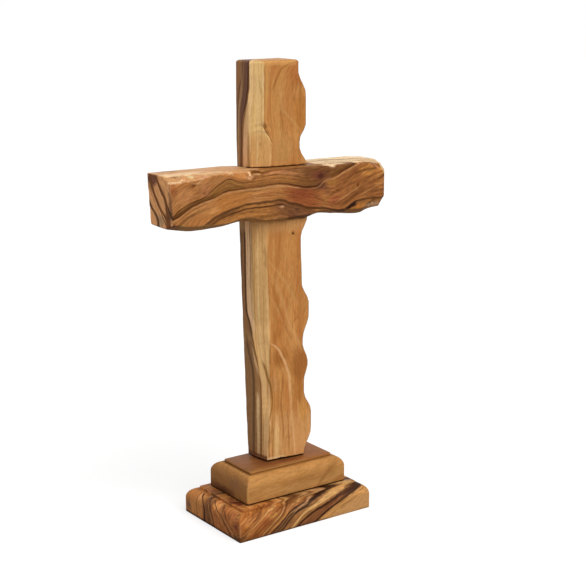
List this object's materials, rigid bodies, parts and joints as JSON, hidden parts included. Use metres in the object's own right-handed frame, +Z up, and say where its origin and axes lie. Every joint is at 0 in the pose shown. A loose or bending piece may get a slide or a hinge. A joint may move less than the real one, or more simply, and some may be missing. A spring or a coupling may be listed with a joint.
{
  "type": "standing cross",
  "caption": "Olive wood standing cross: a hand-carved post and crossbar, halved together, on a stepped base with rounded mouldings.",
  "frame": {"origin": "centre of the base's underside", "axes": "+Z up along the post, +X along the arms to the right of someone facing the cross, -Y towards that person"},
  "size_m": [0.1369, 0.056, 0.25],
  "materials": {
    "figured_olive": "waxed satin, dark veins",
    "plain_olive": "waxed satin, plain grain",
    "pale_olive": "waxed satin, pale with dark heartwood",
    "veined_olive": "waxed satin, strongly veined",
    "zinc_plated_steel": "zinc plated"
  },
  "bodies": {
    "root": {"lower_plinth": "figured_olive", "upper_plinth": "plain_olive", "upright_post": "pale_olive", "crossbar": "veined_olive", "post_screw_left": "zinc_plated_steel", "post_screw_right": "zinc_plated_steel"}
  },
  "joints": []
}
